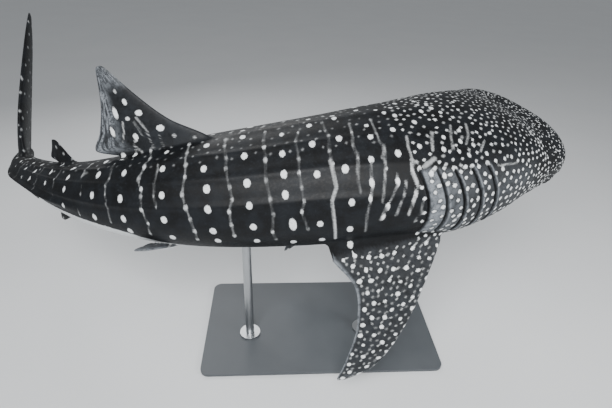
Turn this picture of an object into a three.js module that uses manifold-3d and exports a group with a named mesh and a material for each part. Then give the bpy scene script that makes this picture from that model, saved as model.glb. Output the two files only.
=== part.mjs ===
// A whale shark, life size, swimming in a gentle C, held by a plain display stand.
// Millimetres. +X towards the head, -Y the shark's right side, +Z up.
// The origin is the centre of the stand's underside.

import * as THREE from "three";
import Module from "manifold-3d";

const wasm = await Module();
wasm.setup();

// The whole animal
const LENGTH = 7000;
const AXIS_HEIGHT = 1900;
const BALANCE_X = 279;
const BALANCE_Y = 143;
const GAP = 0.3;
const SURFACE_GAP = 0.5;
const AROUND = 28;

// Pose, in degrees and shares of the length
const HEAD_TURN = 33.7;
const HEAD_TURN_END = 0.372;
const TAIL_TURN = 43.4;
const TAIL_TURN_START = 0.41;
const TAIL_TURN_END = 0.84;
const FLUKE_TURN = 36;
const FLUKE_TURN_START = 0.78;
const FLUKE_TURN_RUN = 0.1;
const PITCH = 7.3;
const HEAD_LIFT = 1.9;
const TAIL_LIFT = 5.2;
const HEAD_TWIST = 13.6;
const TAIL_TWIST = -7.9;
const MID_STATION = 0.36;

// The body's form: station, half width, height above the axis, depth below it, as shares of the length
const STATIONS = [
  [0.00, 0.0805, 0.0325, 0.0274],
  [0.05, 0.0970, 0.0415, 0.0435],
  [0.10, 0.0985, 0.0625, 0.0545],
  [0.15, 0.1065, 0.0755, 0.0700],
  [0.20, 0.1125, 0.0810, 0.0775],
  [0.26, 0.1000, 0.0850, 0.0768],
  [0.33, 0.0917, 0.0825, 0.0770],
  [0.40, 0.0849, 0.0785, 0.0739],
  [0.47, 0.0759, 0.0745, 0.0675],
  [0.54, 0.0646, 0.0644, 0.0580],
  [0.61, 0.0521, 0.0507, 0.0464],
  [0.68, 0.0396, 0.0369, 0.0338],
  [0.74, 0.0294, 0.0264, 0.0243],
  [0.80, 0.0238, 0.0201, 0.0190],
  [0.86, 0.0113, 0.0148, 0.0127],
  [0.90, 0.0040, 0.0060, 0.0060],
];
const SNOUT_REACH_WIDE = 0.05;
const SNOUT_REACH_HIGH = 0.038;
const SNOUT_CORNER_WIDE = 2.4;
const SNOUT_CORNER_HIGH = 2.35;
const KEEL_HEIGHT = 0.0075;
const KEEL_START = 0.6;
const KEEL_END = 0.84;
const BODY_END = 0.885;

// Where the body is parted
const HEAD_END = 0.155;
const GILLS_END = 0.245;
const FRONT_END = 0.36;
const MIDDLE_END = 0.48;
const REAR_END = 0.62;

// Head details
const MOUTH_CORNER = 0.05;
const MOUTH_SIDE_HEIGHT = -0.012;
const MOUTH_FRONT_HEIGHT = -0.004;
const EYE_STATION = 0.062;
const EYE_ANGLE = 103;
const EYE_RADIUS = 30;
const EYE_SINK = 19;
const GILL_STATIONS = [0.168, 0.186, 0.204, 0.221, 0.237];
const GILL_TOP_ANGLE = 54;
const GILL_BOTTOM_ANGLE = 113;
const GILL_DEPTH = 45;
const GILL_WIDTH = 6;

// Paired and upright fins: stations, lengths and shapes as shares of the length
const PECTORAL = {
  station: 0.21,
  rootAngle: 123,
  droopRoot: 49,
  droopTip: 85,
  span: 0.19,
  pitch: 11.6,
  sink: 0.26,
  at: [0, 0.25, 0.5, 0.75, 0.9, 1],
  lead: [0, 0.0305, 0.0593, 0.0915, 0.116, 0.158],
  trail: [0.14, 0.1205, 0.1278, 0.1455, 0.1575, 0.1665],
  thick: 62,
  thin: 9,
};
const PELVIC = {
  station: 0.512,
  rootAngle: 141,
  droopRoot: -22,
  droopTip: -16,
  span: 0.025,
  pitch: 0,
  sink: 0.6,
  at: [0, 0.3, 0.6, 0.85, 1],
  lead: [0, 0.009, 0.02, 0.031, 0.04],
  trail: [0.05, 0.052, 0.053, 0.052, 0.05],
  thick: 30,
  thin: 7,
};
const FIRST_DORSAL = {
  station: 0.452,
  side: 1,
  height: 0.113,
  sink: 0.3,
  lean: -6.7,
  at: [0, 0.12, 0.3, 0.6, 0.85, 1],
  lead: [0, 0.0209, 0.0506, 0.0804, 0.1005, 0.1122],
  trail: [0.1282, 0.1599, 0.1457, 0.1302, 0.1229, 0.1195],
  thick: 62,
  thin: 10,
};
const SECOND_DORSAL = {
  station: 0.662,
  side: 1,
  height: 0.034,
  sink: 0.5,
  lean: 0,
  at: [0, 0.2, 0.6, 0.85, 1],
  lead: [0, 0.011, 0.027, 0.037, 0.044],
  trail: [0.044, 0.062, 0.054, 0.051, 0.051],
  thick: 30,
  thin: 7,
};
const ANAL = {
  station: 0.672,
  side: -1,
  height: 0.034,
  sink: 0.5,
  lean: 0,
  at: [0, 0.2, 0.6, 0.85, 1],
  lead: [0, 0.012, 0.03, 0.041, 0.048],
  trail: [0.04, 0.06, 0.055, 0.054, 0.055],
  thick: 28,
  thin: 7,
};

// Tail fin lobes: distance behind the root station and height over the axis, as shares of the length
const LOBE_ROOT = 0.79;
const UPPER_LOBE = {
  at: [0, 0.3, 0.6, 0.85, 1],
  leadBack: [0, 0.052, 0.104, 0.15, 0.176],
  leadUp: [-0.008, 0.066, 0.138, 0.191, 0.214],
  trailBack: [0.098, 0.121, 0.15, 0.174, 0.182],
  trailUp: [-0.008, 0.046, 0.108, 0.166, 0.209],
  thick: 90,
  thin: 10,
};
const LOWER_LOBE = {
  at: [0, 0.35, 0.7, 1],
  leadBack: [0.004, 0.046, 0.087, 0.117],
  leadUp: [-0.0085, -0.042, -0.077, -0.101],
  trailBack: [0.098, 0.106, 0.116, 0.124],
  trailUp: [-0.0085, -0.036, -0.068, -0.098],
  thick: 60,
  thin: 9,
};

// Display stand
const BASE_LENGTH = 2500;
const BASE_WIDTH = 1400;
const BASE_THICK = 30;
const BASE_CORNER = 90;
const ROD_RADIUS = 45;
const FLANGE_RADIUS = 110;
const FLANGE_THICK = 22;
const PAD_RADIUS = 125;
const PAD_DROP = 48;
const ROD_STATIONS = { front: 0.25, rear: 0.43 };

const rad = THREE.MathUtils.degToRad;
const clamp = THREE.MathUtils.clamp;

function ease(x) {
  const t = clamp(x, 0, 1);
  return t * t * (3 - 2 * t);
}

// A smooth curve through named points that never overshoots them
function curve(xs, ys) {
  const n = xs.length;
  const slope = [];
  for (let i = 0; i < n - 1; i += 1) {
    slope.push((ys[i + 1] - ys[i]) / (xs[i + 1] - xs[i]));
  }
  const tangent = [slope[0]];
  for (let i = 1; i < n - 1; i += 1) {
    const a = slope[i - 1];
    const b = slope[i];
    tangent.push(a * b <= 0 ? 0 : (2 * a * b) / (a + b));
  }
  tangent.push(slope[n - 2]);
  return (x) => {
    let i = 0;
    while (i < n - 2 && x > xs[i + 1]) {
      i += 1;
    }
    const h = xs[i + 1] - xs[i];
    const t = clamp((x - xs[i]) / h, 0, 1);
    const t2 = t * t;
    const t3 = t2 * t;
    const ends = (2 * t3 - 3 * t2 + 1) * ys[i] + (3 * t2 - 2 * t3) * ys[i + 1];
    return ends + h * ((t3 - 2 * t2 + t) * tangent[i] + (t3 - t2) * tangent[i + 1]);
  };
}

const halfWidth = curve(STATIONS.map((r) => r[0]), STATIONS.map((r) => r[1]));
const topHeight = curve(STATIONS.map((r) => r[0]), STATIONS.map((r) => r[2]));
const bottomDepth = curve(STATIONS.map((r) => r[0]), STATIONS.map((r) => r[3]));

// The bent axis of the body, from the snout to the tail's tip
const STEPS = 2000;
const spine = [];

function heading(s) {
  const head = HEAD_TURN * ease((HEAD_TURN_END - s) / HEAD_TURN_END);
  const tail = TAIL_TURN * ease((s - TAIL_TURN_START) / (TAIL_TURN_END - TAIL_TURN_START));
  const fluke = FLUKE_TURN * ease((s - FLUKE_TURN_START) / FLUKE_TURN_RUN);
  const yaw = rad(tail + fluke - head);
  const lift = rad(PITCH + HEAD_LIFT * ease((0.3 - s) / 0.3) - TAIL_LIFT * ease((s - 0.45) / 0.4));
  return new THREE.Vector3(-Math.cos(yaw), Math.sin(yaw), -Math.tan(lift));
}

function buildSpine() {
  let position = new THREE.Vector3();
  let before = heading(0);
  for (let i = 0; i <= STEPS; i += 1) {
    const s = i / STEPS;
    const now = heading(s);
    if (i > 0) {
      position = position.clone().addScaledVector(before.clone().add(now), LENGTH / STEPS / 2);
    }
    before = now;
    const back = now.clone().normalize();
    const flat = new THREE.Vector3(0, 0, 1).cross(back).negate().normalize();
    const side = flat.dot(new THREE.Vector3(0, -1, 0)) < 0 ? flat.negate() : flat;
    const up = side.clone().cross(back);
    if (up.z < 0) {
      up.negate();
    }
    const turn = rad(HEAD_TWIST * ease((0.35 - s) / 0.35) + TAIL_TWIST * ease((s - 0.42) / 0.4));
    const turnedSide = side.clone().multiplyScalar(Math.cos(turn)).addScaledVector(up, -Math.sin(turn));
    const turnedUp = up.clone().multiplyScalar(Math.cos(turn)).addScaledVector(side, Math.sin(turn));
    spine.push({ position, back, side: turnedSide, up: turnedUp });
  }
  const middle = spine[Math.round(MID_STATION * STEPS)].position.clone();
  const shift = new THREE.Vector3(-BALANCE_X, -BALANCE_Y, AXIS_HEIGHT).sub(middle);
  spine.forEach((p) => {
    p.position = p.position.clone().add(shift);
  });
}

buildSpine();

function frameAt(s) {
  const i = clamp(s, 0, 1) * STEPS;
  const j = Math.min(Math.floor(i), STEPS - 1);
  const f = i - j;
  const mix = (key) => spine[j][key].clone().lerp(spine[j + 1][key], f);
  return { position: mix("position"), back: mix("back"), side: mix("side"), up: mix("up") };
}

function snout(s, reach, corner) {
  const r = clamp(1 - s / reach, 0, 1);
  return (1 - r ** corner) ** (1 / corner);
}

function signedPower(v, e) {
  return Math.sign(v) * Math.abs(v) ** e;
}

// A point of the skin: station, angle from the top towards the right side in degrees, growth outwards
function bodyPoint(s, degrees, grow = 0) {
  const frame = frameAt(s);
  const wide = halfWidth(s) * snout(s, SNOUT_REACH_WIDE, SNOUT_CORNER_WIDE) * LENGTH + grow;
  const blunt = snout(s, SNOUT_REACH_HIGH, SNOUT_CORNER_HIGH) * LENGTH;
  const angle = rad(degrees);
  const tall = (Math.cos(angle) > 0 ? topHeight(s) : bottomDepth(s)) * blunt + grow;
  const power = 2 / (2 + 0.6 * ease((0.22 - s) / 0.2));
  const across = signedPower(Math.sin(angle), power);
  const keelRun = ease((s - KEEL_START) / 0.12) * ease((KEEL_END - s) / 0.06);
  const keel = KEEL_HEIGHT * LENGTH * keelRun * Math.exp(-(((Math.abs(degrees) - 90) / 8) ** 2));
  return frame.position
    .clone()
    .addScaledVector(frame.side, (wide + keel) * across)
    .addScaledVector(frame.up, tall * signedPower(Math.cos(angle), power));
}

// Turns rings of points into a closed solid, with a fan at each end
function loft(rings) {
  const count = rings[0].length;
  const points = rings.flat();
  const faces = [];
  const quad = (a, b, c, d) => faces.push([a, b, c], [a, c, d]);
  for (let i = 0; i < rings.length - 1; i += 1) {
    for (let j = 0; j < count; j += 1) {
      const k = (j + 1) % count;
      quad(i * count + j, i * count + k, (i + 1) * count + k, (i + 1) * count + j);
    }
  }
  [0, rings.length - 1].forEach((i) => {
    const middle = new THREE.Vector3();
    rings[i].forEach((p) => middle.add(p));
    middle.divideScalar(count);
    const hub = points.push(middle) - 1;
    for (let j = 0; j < count; j += 1) {
      const k = (j + 1) % count;
      faces.push(i === 0 ? [hub, i * count + k, i * count + j] : [hub, i * count + j, i * count + k]);
    }
  });
  return toSolid(points, faces);
}

function toSolid(points, faces) {
  let volume = 0;
  faces.forEach(([a, b, c]) => {
    volume += points[a].dot(points[b].clone().cross(points[c]));
  });
  const ordered = volume < 0 ? faces.map(([a, b, c]) => [a, c, b]) : faces;
  const vertProperties = new Float32Array(points.flatMap((p) => [p.x, p.y, p.z]));
  const triVerts = new Uint32Array(ordered.flat());
  const mesh = new wasm.Mesh({ numProp: 3, vertProperties, triVerts });
  return new wasm.Manifold(mesh);
}

function ring(s, grow) {
  const points = [];
  for (let j = 0; j < AROUND; j += 1) {
    points.push(bodyPoint(s, (j * 360) / AROUND - 180, grow));
  }
  return points;
}

// Ring stations of the whole body, closer together on the snout
function bodyStations() {
  const stations = [];
  for (let i = 0; i <= 9; i += 1) {
    stations.push(0.0005 + 0.05 * (i / 9) ** 2);
  }
  for (let s = 0.065; s < 0.76; s += 0.0215) {
    stations.push(s);
  }
  for (let s = 0.77; s < BODY_END; s += 0.017) {
    stations.push(s);
  }
  const cuts = [HEAD_END, GILLS_END, FRONT_END, MIDDLE_END, REAR_END];
  const clear = stations.filter((s) => cuts.every((cut) => Math.abs(s - cut) > 0.004));
  return [...clear, ...cuts, BODY_END].sort((a, b) => a - b);
}

function bodyBetween(from, to, grow = 0) {
  const inner = bodyStations().filter((s) => s > from + 0.002 && s < to - 0.002);
  return loft([from, ...inner, to].map((s) => ring(s, grow)));
}

const HALF_GAP = GAP / 2 / LENGTH;
const grownBody = bodyBetween(0.0004, BODY_END + HALF_GAP, SURFACE_GAP);

// The part of space under the mouth line, in front of the mouth's corner
function mouthWedge(offset) {
  const rings = [];
  for (let i = 0; i <= 6; i += 1) {
    const s = -0.004 + (MOUTH_CORNER + offset / LENGTH + 0.004) * (i / 6);
    const frame = frameAt(Math.max(s, 0));
    const origin = frame.position.clone().addScaledVector(frame.back, Math.min(s, 0) * LENGTH);
    const line = [];
    for (let j = 0; j <= 8; j += 1) {
      const across = (j / 4 - 1) * 0.13;
      const rise = MOUTH_FRONT_HEIGHT + (MOUTH_SIDE_HEIGHT - MOUTH_FRONT_HEIGHT) * (across / 0.09) ** 2;
      const height = rise * LENGTH + offset;
      const point = origin.clone().addScaledVector(frame.side, across * LENGTH);
      line.push(point.addScaledVector(frame.up, height));
    }
    for (const across of [0.13, -0.13]) {
      const corner = origin.clone().addScaledVector(frame.side, across * LENGTH);
      line.push(corner.addScaledVector(frame.up, -0.09 * LENGTH));
    }
    rings.push(line);
  }
  return loft(rings);
}

function eyeCentre(flip) {
  const skin = bodyPoint(EYE_STATION, EYE_ANGLE * flip);
  const along = bodyPoint(EYE_STATION + 0.004, EYE_ANGLE * flip);
  along.sub(bodyPoint(EYE_STATION - 0.004, EYE_ANGLE * flip));
  const around = bodyPoint(EYE_STATION, (EYE_ANGLE + 2) * flip);
  around.sub(bodyPoint(EYE_STATION, (EYE_ANGLE - 2) * flip));
  const normal = along.cross(around).normalize();
  const outwards = skin.clone().sub(frameAt(EYE_STATION).position);
  if (normal.dot(outwards) < 0) {
    normal.negate();
  }
  return skin.addScaledVector(normal, -EYE_SINK);
}

function ball(centre, radius) {
  return wasm.Manifold.sphere(radius, 16).translate([centre.x, centre.y, centre.z]);
}

// A thin curved slot across the side of the body
function gillSlot(station, flip) {
  const rings = [];
  const steps = 6;
  for (let i = 0; i <= steps; i += 1) {
    const t = i / steps;
    const angle = GILL_TOP_ANGLE + (GILL_BOTTOM_ANGLE - GILL_TOP_ANGLE) * t;
    const bow = 0.005 * Math.sin(Math.PI * t) - 0.002 * t;
    const s = station - bow;
    const width = GILL_WIDTH * (0.35 + 0.65 * Math.sin(Math.PI * t));
    const half = width / 2 / LENGTH;
    const corners = [
      [s - half, 20],
      [s + half, 20],
      [s + half, -GILL_DEPTH],
      [s - half, -GILL_DEPTH],
    ];
    rings.push(corners.map(([at, grow]) => bodyPoint(at, angle * flip, grow)));
  }
  return loft(rings);
}

// Share of the full thickness across a fin's chord, thickest a third of the way back
function lens(v) {
  return (v / 0.35) ** 0.7 * ((1 - v) / 0.65) ** 1.3;
}

// A fin from rows of leading and trailing points, with the direction of its thickness
function finSolid(rows, chordSteps) {
  const rings = rows.map((row) => {
    const loop = [];
    const put = (v, way) => {
      const half = row.thin / 2 + (row.thick / 2) * lens(v);
      loop.push(row.lead.clone().lerp(row.trail, v).addScaledVector(row.normal, half * way));
    };
    for (let i = 0; i <= chordSteps; i += 1) {
      put(ease(i / chordSteps) * 0.6 + (i / chordSteps) * 0.4, 1);
    }
    for (let i = chordSteps; i >= 0; i -= 1) {
      put(ease(i / chordSteps) * 0.6 + (i / chordSteps) * 0.4, -1);
    }
    return loop;
  });
  return loft(rings);
}

function taper(fin, u) {
  const t = clamp(u, 0, 1);
  return fin.thick * (1 - t) ** 0.75 + 2;
}

// A paired fin: its middle line leaves the body at the root and droops more towards the tip
function pairedFin(fin, flip, spanSteps, chordSteps) {
  const root = bodyPoint(fin.station, fin.rootAngle * flip);
  const frame = frameAt(fin.station);
  const lead = curve(fin.at, fin.lead);
  const trail = curve(fin.at, fin.trail);
  const fine = 64;
  const line = [root.clone()];
  const outAt = (u) => {
    const droop = rad(fin.droopRoot + (fin.droopTip - fin.droopRoot) * clamp(u, 0, 1));
    return frame.side
      .clone()
      .multiplyScalar(flip * Math.cos(droop))
      .addScaledVector(frame.up, -Math.sin(droop));
  };
  for (let i = 1; i <= fine; i += 1) {
    line.push(line[i - 1].clone().addScaledVector(outAt((i - 0.5) / fine), (fin.span * LENGTH) / fine));
  }
  const rows = [];
  for (let i = -1; i <= spanSteps; i += 1) {
    const u = i < 0 ? -fin.sink : i / spanSteps;
    const out = outAt(u);
    const normal = frame.back.clone().cross(out);
    if (normal.dot(frame.up) < 0) {
      normal.negate();
    }
    normal.normalize();
    const chord = frame.back
      .clone()
      .multiplyScalar(Math.cos(rad(fin.pitch)))
      .addScaledVector(normal, -Math.sin(rad(fin.pitch)));
    const face = chord.clone().cross(out).normalize();
    const from = i < 0
      ? line[0].clone().addScaledVector(out, u * fin.span * LENGTH)
      : line[Math.round((i / spanSteps) * fine)];
    rows.push({
      lead: from.clone().addScaledVector(chord, lead(Math.max(u, 0)) * LENGTH),
      trail: from.clone().addScaledVector(chord, trail(Math.max(u, 0)) * LENGTH),
      normal: face,
      thick: taper(fin, u),
      thin: fin.thin,
    });
  }
  return finSolid(rows, chordSteps);
}

// An upright fin over the back or under the belly
function uprightFin(fin, spanSteps, chordSteps) {
  const angle = fin.side > 0 ? 0 : 180;
  const root = bodyPoint(fin.station, angle);
  const along = bodyPoint(fin.station + 0.11, angle).sub(root).normalize();
  const frame = frameAt(fin.station + 0.055);
  const straight = frame.up.clone().multiplyScalar(fin.side);
  straight.addScaledVector(along, -straight.dot(along)).normalize();
  const across = along.clone().cross(straight).normalize();
  if (across.dot(frame.side) < 0) {
    across.negate();
  }
  const up = straight.clone().multiplyScalar(Math.cos(rad(fin.lean)));
  up.addScaledVector(across, Math.sin(rad(fin.lean)));
  const normal = along.clone().cross(up).normalize();
  const lead = curve(fin.at, fin.lead);
  const trail = curve(fin.at, fin.trail);
  const rows = [];
  for (let i = -1; i <= spanSteps; i += 1) {
    const u = i < 0 ? -fin.sink : (i / spanSteps) ** 1.2;
    const from = root.clone().addScaledVector(up, u * fin.height * LENGTH);
    rows.push({
      lead: from.clone().addScaledVector(along, lead(Math.max(u, 0)) * LENGTH),
      trail: from.clone().addScaledVector(along, trail(Math.max(u, 0)) * LENGTH),
      normal,
      thick: taper(fin, u),
      thin: fin.thin,
    });
  }
  return finSolid(rows, chordSteps);
}

// A lobe of the tail fin, which follows the bend of the axis
function tailLobe(lobe, spanSteps, chordSteps) {
  const place = (back, up) => {
    const frame = frameAt(LOBE_ROOT + back);
    return frame.position.clone().addScaledVector(frame.up, up * LENGTH);
  };
  const leadBack = curve(lobe.at, lobe.leadBack);
  const leadUp = curve(lobe.at, lobe.leadUp);
  const trailBack = curve(lobe.at, lobe.trailBack);
  const trailUp = curve(lobe.at, lobe.trailUp);
  const rings = [];
  for (let i = 0; i <= spanSteps; i += 1) {
    const u = i / spanSteps;
    const top = [];
    const under = [];
    for (let j = 0; j <= chordSteps; j += 1) {
      const v = ease(j / chordSteps) * 0.6 + (j / chordSteps) * 0.4;
      const back = leadBack(u) + (trailBack(u) - leadBack(u)) * v;
      const up = leadUp(u) + (trailUp(u) - leadUp(u)) * v;
      const half = lobe.thin / 2 + (taper(lobe, u) / 2) * lens(v);
      const side = frameAt(LOBE_ROOT + back).side;
      top.push(place(back, up).addScaledVector(side, half));
      under.unshift(place(back, up).addScaledVector(side, -half));
    }
    rings.push([...top, ...under]);
  }
  return loft(rings);
}

// Stand pieces
function rodPlace(station) {
  const frame = frameAt(station);
  const belly = bodyPoint(station, 180);
  return { x: frame.position.x, y: frame.position.y, z: belly.z };
}

function cylinder(place, radius, low, high, segments) {
  return wasm.Manifold.cylinder(high - low, radius, radius, segments).translate([place.x, place.y, low]);
}

function standRod(station) {
  const place = rodPlace(station);
  const foot = BASE_THICK + GAP;
  const flange = cylinder(place, FLANGE_RADIUS, foot, foot + FLANGE_THICK, 36);
  const rod = cylinder(place, ROD_RADIUS, foot + 1, place.z - PAD_DROP - GAP, 36);
  return flange.add(rod);
}

function standPad(station) {
  const place = rodPlace(station);
  return cylinder(place, PAD_RADIUS, place.z - PAD_DROP, place.z + 60, 36).subtract(grownBody);
}

function standBase() {
  const x = BASE_LENGTH / 2;
  const y = BASE_WIDTH / 2;
  const r = BASE_CORNER;
  const shape = new THREE.Shape();
  shape.moveTo(-x + r, -y);
  shape.lineTo(x - r, -y);
  shape.absarc(x - r, -y + r, r, -Math.PI / 2, 0, false);
  shape.lineTo(x, y - r);
  shape.absarc(x - r, y - r, r, 0, Math.PI / 2, false);
  shape.lineTo(-x + r, y);
  shape.absarc(-x + r, y - r, r, Math.PI / 2, Math.PI, false);
  shape.lineTo(-x, -y + r);
  shape.absarc(-x + r, -y + r, r, Math.PI, 1.5 * Math.PI, false);
  return new THREE.ExtrudeGeometry(shape, { depth: BASE_THICK, bevelEnabled: false, curveSegments: 10 });
}

const group = new THREE.Group();

function addNode(name, geometry, colour, slot) {
  const material = new THREE.MeshStandardMaterial({ color: colour, name: slot });
  const mesh = new THREE.Mesh(geometry, material);
  mesh.name = name;
  group.add(mesh);
}

function toGeometry(solid) {
  const mesh = solid.getMesh();
  const geometry = new THREE.BufferGeometry();
  const positions = [];
  for (let i = 0; i < mesh.numVert; i += 1) {
    for (let k = 0; k < 3; k += 1) {
      positions.push(mesh.vertProperties[i * mesh.numProp + k]);
    }
  }
  geometry.setAttribute("position", new THREE.Float32BufferAttribute(positions, 3));
  geometry.setIndex([...mesh.triVerts]);
  return geometry;
}

const SKIN = 0x23262b;
const EYE = 0x0a0a0c;

// Head, with the mouth line cut through its front and a hollow for each eye
const wholeHead = bodyBetween(0.0005, HEAD_END - HALF_GAP);
const jaw = wholeHead.intersect(mouthWedge(-GAP / 2));
let head = wholeHead.subtract(mouthWedge(GAP / 2));
[1, -1].forEach((flip) => {
  head = head.subtract(ball(eyeCentre(flip), EYE_RADIUS + GAP));
});
addNode("head", toGeometry(head), SKIN, "skin");
addNode("lower_jaw", toGeometry(jaw), SKIN, "skin");

// Gill region with five slots a side
let gills = bodyBetween(HEAD_END + HALF_GAP, GILLS_END - HALF_GAP);
GILL_STATIONS.forEach((station) => {
  gills = gills.subtract(gillSlot(station, 1)).subtract(gillSlot(station, -1));
});
addNode("gill_region", toGeometry(gills), SKIN, "skin");

// Trunk and tail
addNode("trunk_front", toGeometry(bodyBetween(GILLS_END + HALF_GAP, FRONT_END - HALF_GAP)), SKIN, "skin");
addNode("trunk_middle", toGeometry(bodyBetween(FRONT_END + HALF_GAP, MIDDLE_END - HALF_GAP)), SKIN, "skin");
addNode("trunk_rear", toGeometry(bodyBetween(MIDDLE_END + HALF_GAP, REAR_END - HALF_GAP)), SKIN, "skin");
addNode("tail_stock", toGeometry(bodyBetween(REAR_END + HALF_GAP, BODY_END)), SKIN, "skin");

// Fins, each cut clear of the body
const outside = (solid) => {
  const pieces = solid.subtract(grownBody).decompose();
  pieces.sort((a, b) => b.volume() - a.volume());
  return toGeometry(pieces[0]);
};
addNode("first_dorsal_fin", outside(uprightFin(FIRST_DORSAL, 10, 8)), SKIN, "skin");
addNode("second_dorsal_fin", outside(uprightFin(SECOND_DORSAL, 5, 6)), SKIN, "skin");
addNode("anal_fin", outside(uprightFin(ANAL, 5, 6)), SKIN, "skin");
addNode("pectoral_fin_right", outside(pairedFin(PECTORAL, 1, 16, 8)), SKIN, "skin");
addNode("pectoral_fin_left", outside(pairedFin(PECTORAL, -1, 16, 8)), SKIN, "skin");
addNode("pelvic_fin_right", outside(pairedFin(PELVIC, 1, 4, 6)), SKIN, "skin");
addNode("pelvic_fin_left", outside(pairedFin(PELVIC, -1, 4, 6)), SKIN, "skin");
addNode("tail_fin_upper", outside(tailLobe(UPPER_LOBE, 11, 8)), SKIN, "skin");
addNode("tail_fin_lower", outside(tailLobe(LOWER_LOBE, 8, 8)), SKIN, "skin");

// Eyes
addNode("eye_right", toGeometry(ball(eyeCentre(1), EYE_RADIUS)), EYE, "eye");
addNode("eye_left", toGeometry(ball(eyeCentre(-1), EYE_RADIUS)), EYE, "eye");

// Stand
addNode("stand_base", standBase(), 0x3a3d40, "stand_base");
addNode("stand_rod_front", toGeometry(standRod(ROD_STATIONS.front)), 0x9a9da0, "stand_rod");
addNode("stand_rod_rear", toGeometry(standRod(ROD_STATIONS.rear)), 0x9a9da0, "stand_rod");
addNode("stand_pad_front", toGeometry(standPad(ROD_STATIONS.front)), 0x1c1c1e, "stand_pad");
addNode("stand_pad_rear", toGeometry(standPad(ROD_STATIONS.rear)), 0x1c1c1e, "stand_pad");

export default group;
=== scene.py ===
"""A whale shark as a life-size museum model on a plain stand: its skin, eyes, stand, light and camera."""

import itertools
import math

import bpy
import numpy as np
from mathutils import Matrix, Vector
from mathutils.kdtree import KDTree


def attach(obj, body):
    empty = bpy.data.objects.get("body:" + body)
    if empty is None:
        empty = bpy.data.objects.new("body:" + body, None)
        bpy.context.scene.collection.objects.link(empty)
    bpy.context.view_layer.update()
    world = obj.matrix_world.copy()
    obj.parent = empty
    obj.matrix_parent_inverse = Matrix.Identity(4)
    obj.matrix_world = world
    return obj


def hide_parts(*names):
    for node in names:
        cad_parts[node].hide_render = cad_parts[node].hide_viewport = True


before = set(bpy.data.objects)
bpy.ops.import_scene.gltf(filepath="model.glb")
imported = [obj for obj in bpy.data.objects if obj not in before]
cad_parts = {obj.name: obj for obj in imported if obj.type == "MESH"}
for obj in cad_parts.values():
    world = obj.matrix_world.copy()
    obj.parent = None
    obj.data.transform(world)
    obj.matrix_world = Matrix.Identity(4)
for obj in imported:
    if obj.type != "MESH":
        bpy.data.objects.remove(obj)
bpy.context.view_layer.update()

# The animal's sizes and pose, as in the frame's own source, in metres and degrees
LENGTH = 7.0
AXIS_HEIGHT = 1.9
BALANCE = (0.279, 0.143)
HEAD_TURN, HEAD_TURN_END = 33.7, 0.372
TAIL_TURN, TAIL_TURN_START, TAIL_TURN_END = 43.4, 0.41, 0.84
FLUKE_TURN, FLUKE_TURN_START, FLUKE_TURN_RUN = 36, 0.78, 0.1
PITCH, HEAD_LIFT, TAIL_LIFT = 7.3, 1.9, 5.2
HEAD_TWIST, TAIL_TWIST = 13.6, -7.9
MID_STATION = 0.36
# station, half width, height above the axis, depth below it, as shares of the length
STATIONS = np.array([
    [0.00, 0.0805, 0.0325, 0.0274],
    [0.05, 0.0970, 0.0415, 0.0435],
    [0.10, 0.0985, 0.0625, 0.0545],
    [0.15, 0.1065, 0.0755, 0.0700],
    [0.20, 0.1125, 0.0810, 0.0775],
    [0.26, 0.1000, 0.0850, 0.0768],
    [0.33, 0.0917, 0.0825, 0.0770],
    [0.40, 0.0849, 0.0785, 0.0739],
    [0.47, 0.0759, 0.0745, 0.0675],
    [0.54, 0.0646, 0.0644, 0.0580],
    [0.61, 0.0521, 0.0507, 0.0464],
    [0.68, 0.0396, 0.0369, 0.0338],
    [0.74, 0.0294, 0.0264, 0.0243],
    [0.80, 0.0238, 0.0201, 0.0190],
    [0.86, 0.0113, 0.0148, 0.0127],
    [0.90, 0.0040, 0.0060, 0.0060],
])
SNOUT_WIDE, SNOUT_HIGH = (0.05, 2.4), (0.038, 2.35)
KEEL_HEIGHT, KEEL_START, KEEL_END = 0.0075, 0.6, 0.84
BODY_END = 0.885
MOUTH_CORNER, MOUTH_FRONT_HEIGHT, MOUTH_SIDE_HEIGHT = 0.05, -0.004, -0.012
EYE_STATION, EYE_ANGLE, EYE_RADIUS, EYE_SINK = 0.062, 103, 0.030, 0.019
GILL_STATIONS = (0.168, 0.186, 0.204, 0.221, 0.237)
GILL_TOP, GILL_BOTTOM = 54, 113
# Relief of the skin: the side ridges' angles from the top and heights, then heights and depths
SIDE_RIDGES = ((27, 0.010), (50, 0.012), (74, 0.014))
BACK_RIDGE = 0.012
GILL_FLAP, GILL_DEPTH = 0.008, 0.028
MOUTH_DEPTH, LIP_HEIGHT = 0.036, 0.010
PECTORAL = dict(
    station=0.21, root_angle=123, droop=(49, 85), span=0.19, pitch=11.6, sink=0.26,
    at=(0, 0.25, 0.5, 0.75, 0.9, 1),
    lead=(0, 0.0305, 0.0593, 0.0915, 0.116, 0.158),
    trail=(0.14, 0.1205, 0.1278, 0.1455, 0.1575, 0.1665),
    thick=0.062, thin=0.009,
)
PELVIC = dict(
    station=0.512, root_angle=141, droop=(-22, -16), span=0.025, pitch=0, sink=0.6,
    at=(0, 0.3, 0.6, 0.85, 1),
    lead=(0, 0.009, 0.02, 0.031, 0.04),
    trail=(0.05, 0.052, 0.053, 0.052, 0.05),
    thick=0.030, thin=0.007,
)
FIRST_DORSAL = dict(
    station=0.452, side=1, height=0.113, sink=0.3, lean=-6.7,
    at=(0, 0.12, 0.3, 0.6, 0.85, 1),
    lead=(0, 0.0209, 0.0506, 0.0804, 0.1005, 0.1122),
    trail=(0.1282, 0.1599, 0.1457, 0.1302, 0.1229, 0.1195),
    thick=0.062, thin=0.010,
)
SECOND_DORSAL = dict(
    station=0.662, side=1, height=0.034, sink=0.5, lean=0,
    at=(0, 0.2, 0.6, 0.85, 1),
    lead=(0, 0.011, 0.027, 0.037, 0.044),
    trail=(0.044, 0.062, 0.054, 0.051, 0.051),
    thick=0.030, thin=0.007,
)
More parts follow.
